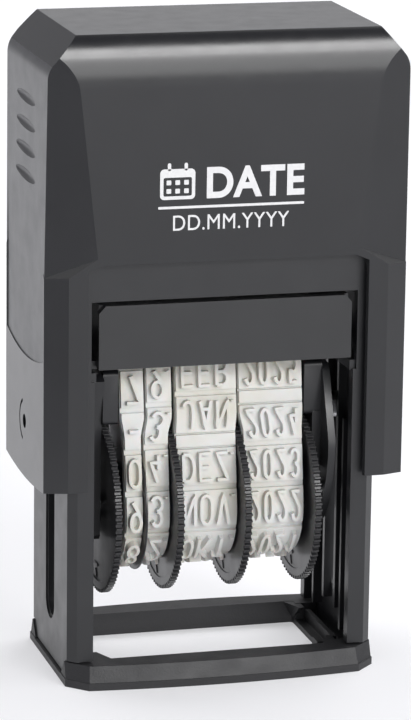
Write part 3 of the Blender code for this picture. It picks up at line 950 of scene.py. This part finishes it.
UPPER_BOWL = [(0, 1), (0.5, 1), *bow((0.5, 0.75), (0.5, 0.25), 80, -80), (0.5, 0.5), (0, 0.5)]
LOWER_BOWL = [(0.5, 0.5), *bow((0.5, 0.25), (0.5, 0.25), 80, -80), (0.5, 0), (0, 0)]
RING = bow((0.5, 0.68), (0.5, 0.32), 0, 180) + bow((0.5, 0.32), (0.5, 0.32), 180, 360) + [(1, 0.68)]
# each character's pen strokes, in a square from (0, 0) at its bottom left to (1, 1)
STROKES = {
    "0": [RING],
    "1": [[(0.15, 0.78), (0.6, 1), (0.6, 0)]],
    "2": [bow((0.5, 0.7), (0.5, 0.3), 165, -25) + [(0, 0), (1, 0)]],
    "3": [bow((0.47, 0.76), (0.45, 0.24), 155, -90), bow((0.47, 0.26), (0.53, 0.26), 90, -155)],
    "4": [[(0.6, 1), (0, 0.28), (1, 0.28)], [(0.74, 0.52), (0.74, 0)]],
    "5": [[(0.92, 1), (0.12, 1), (0.08, 0.55)] + bow((0.48, 0.31), (0.52, 0.31), 125, -150)],
    "6": [[(0.8, 1), (0.2, 0.58), (0.03, 0.38)], bow((0.5, 0.3), (0.5, 0.3), 0, 360)],
    "7": [[(0, 1), (1, 1), (0.35, 0)]],
    "8": [bow((0.5, 0.76), (0.43, 0.24), 0, 360), bow((0.5, 0.26), (0.5, 0.26), 0, 360)],
    "9": [[(0.2, 0), (0.8, 0.42), (0.97, 0.62)], bow((0.5, 0.7), (0.5, 0.3), 0, 360)],
    "A": [[(0, 0), (0.5, 1), (1, 0)], [(0.2, 0.3), (0.8, 0.3)]],
    "B": [[(0, 0), (0, 1)], UPPER_BOWL, LOWER_BOWL],
    "D": [
        [(0, 0), (0, 1)],
        [(0, 1), (0.4, 1), *bow((0.4, 0.5), (0.6, 0.5), 75, -75), (0.4, 0), (0, 0)],
    ],
    "E": [[(1, 1), (0, 1), (0, 0), (1, 0)], [(0, 0.52), (0.85, 0.52)]],
    "F": [[(1, 1), (0, 1), (0, 0)], [(0, 0.5), (0.85, 0.5)]],
    "G": [
        bow((0.5, 0.68), (0.5, 0.32), 20, 180) + bow((0.5, 0.32), (0.5, 0.32), 180, 350)
        + [(1, 0.5), (0.6, 0.5)]
    ],
    "I": [[(0.5, 0), (0.5, 1)]],
    "J": [[(0.9, 1), (0.9, 0.3)] + bow((0.45, 0.3), (0.45, 0.3), 0, -160)],
    "K": [[(0, 0), (0, 1)], [(1, 1), (0, 0.4)], [(0.33, 0.6), (1, 0)]],
    "L": [[(0, 1), (0, 0), (1, 0)]],
    "M": [[(0, 0), (0, 1), (0.5, 0.4), (1, 1), (1, 0)]],
    "N": [[(0, 0), (0, 1), (1, 0), (1, 1)]],
    "O": [RING],
    "P": [[(0, 0), (0, 1)], UPPER_BOWL],
    "R": [[(0, 0), (0, 1)], UPPER_BOWL, [(0.5, 0.5), (1, 0)]],
    "S": [bow((0.5, 0.76), (0.5, 0.24), 20, 270) + bow((0.5, 0.26), (0.5, 0.26), 90, -160)],
    "T": [[(0, 1), (1, 1)], [(0.5, 1), (0.5, 0)]],
    "U": [[(0, 1), (0, 0.3)] + bow((0.5, 0.3), (0.5, 0.3), 180, 360) + [(1, 1)]],
    "V": [[(0, 1), (0.5, 0), (1, 1)]],
    "Z": [[(0, 1), (1, 1), (0, 0), (1, 0)]],
    "-": [[(0.1, 0.5), (0.9, 0.5)]],
    ".": [[(0, 0), (0, 0.06)]],
}
PEN_RADIUS = 0.27
LETTER_GAP = 0.78
DOT_GAP = 0.55


def finely(points, step=0.45):
    """The same line with points no further apart than the step."""
    fine = [points[0]]
    for a, b in zip(points, points[1:]):
        count = max(1, math.ceil(math.dist(a, b) / step))
        across, along = b[0] - a[0], b[1] - a[1]
        fine += [(a[0] + across * i / count, a[1] + along * i / count) for i in range(1, count + 1)]
    return fine


def lettering(text, width, height, thick):
    """Moulded characters as a bmesh: x across the band and y along it, as ridges on z = 0."""
    letters = [c for c in text if c != "."]
    gaps = LETTER_GAP * (len(letters) - 1) + DOT_GAP * text.count(".")
    each = (width - 2 * PEN_RADIUS - gaps) / len(letters)
    curve = bpy.data.curves.new("letters", "CURVE")
    curve.dimensions = "3D"
    curve.bevel_depth = PEN_RADIUS * MM
    curve.bevel_resolution = 2
    curve.use_fill_caps = True
    x = PEN_RADIUS - width / 2
    tall = height - 2 * PEN_RADIUS
    for i, character in enumerate(text):
        wide = 0 if character == "." else each
        for stroke in STROKES[character]:
            line = finely([(x + u * wide, (v - 0.5) * tall) for u, v in stroke])
            spline = curve.splines.new("POLY")
            if math.dist(line[0], line[-1]) < 0.01:
                line = line[:-1]
                spline.use_cyclic_u = True
            spline.points.add(len(line) - 1)
            for point, (u, v) in zip(spline.points, line):
                point.co = (u * MM, v * MM, 0, 1)
        follows_dot = text[i + 1 : i + 2] == "."
        x += wide + (DOT_GAP if follows_dot else LETTER_GAP)
    form = bmesh.new()
    form.from_mesh(mesh_of(new_object("letters", curve)))
    bmesh.ops.remove_doubles(form, verts=form.verts[:], dist=1e-7)
    face_out(form)
    for vertex in form.verts:
        share = min(1.0, abs(vertex.co.z) / (PEN_RADIUS * MM))
        vertex.co.z = math.copysign(1 - (1 - share) ** 3, vertex.co.z) * thick * MM
    return form


MONTHS = (
    "FEB.", "JAN.", "DEZ.", "NOV.", "OKT.", "SEP.", "AUG.", "JUL.", "JUN.", "MAI", "APR.", "MRZ.",
)
# band: its characters in order down the front, the first one's height, and the rows before a plain strip
BAND_ROWS = {
    "day_tens": (("7", "-", "0", "9", "8", "3", "2", "1", "0", "-", "3", "2"), 34.7, ()),
    "day_units": (("9.", "3.", "4.", "3.", "2.", "1.", "0.", "9.", "8.", "7.", "6.", "5."), 35.2, ()),
    "month": (MONTHS, 36.3, (1,)),
    "year": (tuple(str(2025 - i) for i in range(12)), 36.2, (0,)),
}


def raised_pad(route, distance, middle, half, length):
    """A low block with sloping sides that lies on the band."""
    pad = bmesh.new()
    bmesh.ops.create_grid(pad, x_segments=1, y_segments=6, size=0.5)
    solid = bmesh.ops.extrude_face_region(pad, geom=pad.faces[:])
    raised = [v for v in solid["geom"] if isinstance(v, bmesh.types.BMVert)]
    bmesh.ops.translate(pad, verts=raised, vec=(0, 0, 1))
    for vertex in pad.verts:
        x = vertex.co.x * 2 * (half - 0.02 - 0.06 * vertex.co.z)
        y = vertex.co.y * (length - 0.12 * vertex.co.z)
        vertex.co = Vector((x + middle, y, (PAD_HEIGHT + 0.1) * vertex.co.z - 0.1)) * MM
    bent(pad, route, distance)
    return pad


def spread_out(form, name):
    """Widens the part of a band that stands above the wheels."""
    (left, right), (top_left, top_right) = EDGES[name]
    for vertex in form.verts:
        x, height = vertex.co.x / MM, vertex.co.z / MM
        share = min(1.0, max(0.0, (height - SPREAD[0]) / (SPREAD[1] - SPREAD[0])))
        across = (x - left) / (right - left)
        widened = top_left + across * (top_right - top_left)
        vertex.co.x = (x + share * (widened - x)) * MM


def band(name):
    """A rubber band with a raised pad and raised, mirror-written characters at each printing position."""
    left, right = EDGES[name][0]
    middle, half = (left + right) / 2, (right - left) / 2
    inner, outer = belt_points(0.0), belt_points(BELT_BASE)
    loops = [[tuple(p) for p in outer], [tuple(p) for p in inner]]
    belt = prism("belt", loops, "X", left, right)
    route = Route(outer)
    texts, first, strips = BAND_ROWS[name]
    distance = route.where(first)
    form = bmesh.new()
    form.from_mesh(belt.data)
    bpy.data.objects.remove(belt)
    for height in SPREAD:
        bmesh.ops.bisect_plane(
            form, geom=form.verts[:] + form.edges[:] + form.faces[:],
            plane_co=(0, 0, height * MM), plane_no=(0, 0, 1),
        )
    pitch = (route.length - STRIP_EXTRA * len(strips)) / len(texts)
    pitch = min(pitch, ROW_PITCH)
    for i, text in enumerate(texts):
        merge(form, raised_pad(route, distance, middle, half, PAD_LENGTH))
        width = SHORT_WIDTHS.get(len(text), 2 * half - 0.9)
        letters = lettering(text, width, CHARACTER_HEIGHT, BAND_THICKNESS - BELT_BASE - PAD_HEIGHT)
        for vertex in letters.verts:
            vertex.co.x += middle * MM
            vertex.co.z += PAD_HEIGHT * MM
        bent(letters, route, distance)
        merge(form, letters)
        if i in strips:
            between = distance + (pitch + STRIP_EXTRA) / 2
            merge(form, raised_pad(route, between, middle, half, STRIP_LENGTH))
            distance += STRIP_EXTRA
        distance += pitch
    spread_out(form, name)
    piece = from_form("printing_band_" + name, form)
    piece.data.shade_smooth()
    piece.data.set_sharp_from_angle(angle=math.radians(30))
    place(piece, "carriage", ["band_" + name], LOOKS["rubber"], "band_rubber")


def merge(form, extra):
    """Adds a form's faces to another, facing out, and frees it."""
    face_out(extra)
    mesh = bpy.data.meshes.new("extra")
    extra.to_mesh(mesh)
    extra.free()
    form.from_mesh(mesh)
    bpy.data.meshes.remove(mesh)


def divider():
    """The plain disc between the wheels."""
    low, high = corners_mm("divider_disc")
    centre = (0.0, AXLE_Z)
    loops = [circle(high.y, centre, 96), circle(BORE_RADIUS, centre, 32)]
    disc = prism("divider", loops, "X", low.x, high.x)
    soften(disc, 0.07, 2)
    place(disc, "carriage", ["divider_disc"], LOOKS["wheel"], "wheel_plastic")


def carried_over():
    """CAD pieces whose shape is right: they get a finished material and softened edges."""
    steel = (
        "wheel_axle", "axle_clip_left", "axle_clip_right",
        "pivot_pin_left", "pivot_pin_right", "detent_spring",
    )
    for name in steel:
        dress(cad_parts[name], LOOKS["steel"], 0.08)
    dress(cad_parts["type_bridge"], LOOKS["frame"], 0.12)


def dress(node, look, width):
    """Gives a CAD piece its material and rounds its edges."""
    node.data.materials.clear()
    node.data.materials.append(look)
    bevel = node.modifiers.new("edges", "BEVEL")
    bevel.width = width * MM
    bevel.segments = 2
    bevel.limit_method = "ANGLE"
    bevel.angle_limit = math.radians(40)


# -------- studio

FLOOR_COLOUR = (0.60, 0.60, 0.62)
FLOOR_GLOW = 0.36
# light: azimuth from the front and elevation in degrees, distance and size in metres, power in watts
SOFTBOXES = {
    "front_high": (17, 25, 1.2, (0.75, 0.20), 6.5),
    "front_low": (19, 12, 1.2, (0.75, 0.42), 3.9),
    "left_box": (-85, 60, 1.2, (0.9, 0.7), 1.8),
    "right_box": (75, 55, 1.2, (0.9, 0.7), 3),
    "back_left": (-150, 50, 1.2, (0.8, 0.6), 4.7),
    "back_right": (125, 50, 1.2, (0.8, 0.6), 5),
    "back_card": (158, 15, 1.3, (0.9, 0.4), 0.35),
}
# the surroundings' colour at the horizon and overhead, which starts at this height on a unit sphere
HORIZON = (0.37, 0.37, 0.39, 1)
ZENITH = (0.22, 0.22, 0.23, 1)
ZENITH_FROM = 0.7


def floor():
    """The white sheet that the stamp stands on, which glows a little."""
    form = bmesh.new()
    bmesh.ops.create_grid(form, x_segments=1, y_segments=1, size=3.0)
    sheet = from_form("floor", form)
    paper = Look("lit_sheet", FLOOR_COLOUR, 0.85, specular=0.1)
    paper.shader.inputs["Emission Color"].default_value = (0.985, 0.985, 1.0, 1)
    paper.shader.inputs["Emission Strength"].default_value = FLOOR_GLOW
    paper.bump(paper.noise(6.0), 0.01)
    sheet.data.materials.append(paper.material)


def softbox(name, azimuth, elevation, distance, size, power):
    """A rectangular area light that faces the stamp."""
    light = bpy.data.lights.new(name, "AREA")
    light.shape = "RECTANGLE"
    light.size, light.size_y = size
    light.energy = power
    lamp = new_object(name, light)
    a, e = math.radians(azimuth), math.radians(elevation)
    away = Vector((math.sin(a) * math.cos(e), -math.cos(a) * math.cos(e), math.sin(e)))
    lamp.location = Vector((0, 0, 0.04)) + away * distance
    lamp.rotation_euler = away.to_track_quat("Z", "Y").to_euler()


def grey_card():
    """A grey flag at the front left. Only reflections show it: no camera, diffuse light or shadow does."""
    look = Look("flag_cloth", (0.75, 0.75, 0.77), 0.9)
    look.bump(look.noise(2.0), 0.01)
    card = block("grey_card", (-70, -1, 2), (60, 1, 75))
    card.data.materials.append(look.material)
    card.rotation_euler = (0, 0, math.radians(-40))
    card.location = (-0.078, -0.088, 0)
    card.visible_camera = False
    card.visible_diffuse = False
    card.visible_shadow = False


def studio():
    """The soft grey surroundings, the lights and the flag."""
    world = bpy.data.worlds.new("white_room")
    bpy.context.scene.world = world
    world.use_nodes = True
    nodes, links = world.node_tree.nodes, world.node_tree.links
    direction = nodes.new("ShaderNodeTexCoord").outputs["Generated"]
    split = nodes.new("ShaderNodeSeparateXYZ")
    links.new(direction, split.inputs["Vector"])
    ramp = nodes.new("ShaderNodeValToRGB")
    low, high = ramp.color_ramp.elements
    low.position, low.color = 0.0, HORIZON
    high.position, high.color = ZENITH_FROM, ZENITH
    links.new(split.outputs["Z"], ramp.inputs["Fac"])
    links.new(ramp.outputs["Color"], nodes["Background"].inputs["Color"])
    nodes["Background"].inputs["Strength"].default_value = 1.0
    for name, settings in SOFTBOXES.items():
        softbox(name, *settings)
    grey_card()


def camera():
    """The photograph's viewpoint."""
    azimuth, elevation, roll = (math.radians(v) for v in (-15.318, 13.635, 0.747))
    distance, height = 462.1, 38.63
    level = math.cos(elevation)
    back = Vector((math.sin(azimuth) * level, -math.cos(azimuth) * level, math.sin(elevation)))
    right = Vector((math.cos(azimuth), math.sin(azimuth), 0))
    up = back.cross(right)
    rolled_right = right * math.cos(roll) + up * math.sin(roll)
    rolled_up = up * math.cos(roll) - right * math.sin(roll)
    data = bpy.data.cameras.new("camera")
    data.sensor_width = 36
    data.lens = 192.16
    data.shift_x, data.shift_y = 0.00307, -0.02134
    data.clip_start, data.clip_end = 0.01, 20
    eye = new_object("camera", data)
    turn = Matrix((rolled_right, rolled_up, back)).transposed().to_4x4()
    spot = (Vector((0, 0, height)) + back * distance) * MM
    eye.matrix_world = Matrix.Translation(spot) @ turn
    bpy.context.scene.camera = eye


camera()
LOOKS = make_looks()
hood()
hood_print()
frame_piece()
foot_piece()
ink_tray()
springs()
carriage()
divider()
for band_name in BAND_NAMES:
    wheel(band_name)
    band(band_name)
carried_over()
floor()
studio()
bpy.context.scene.view_settings.view_transform = "Standard"
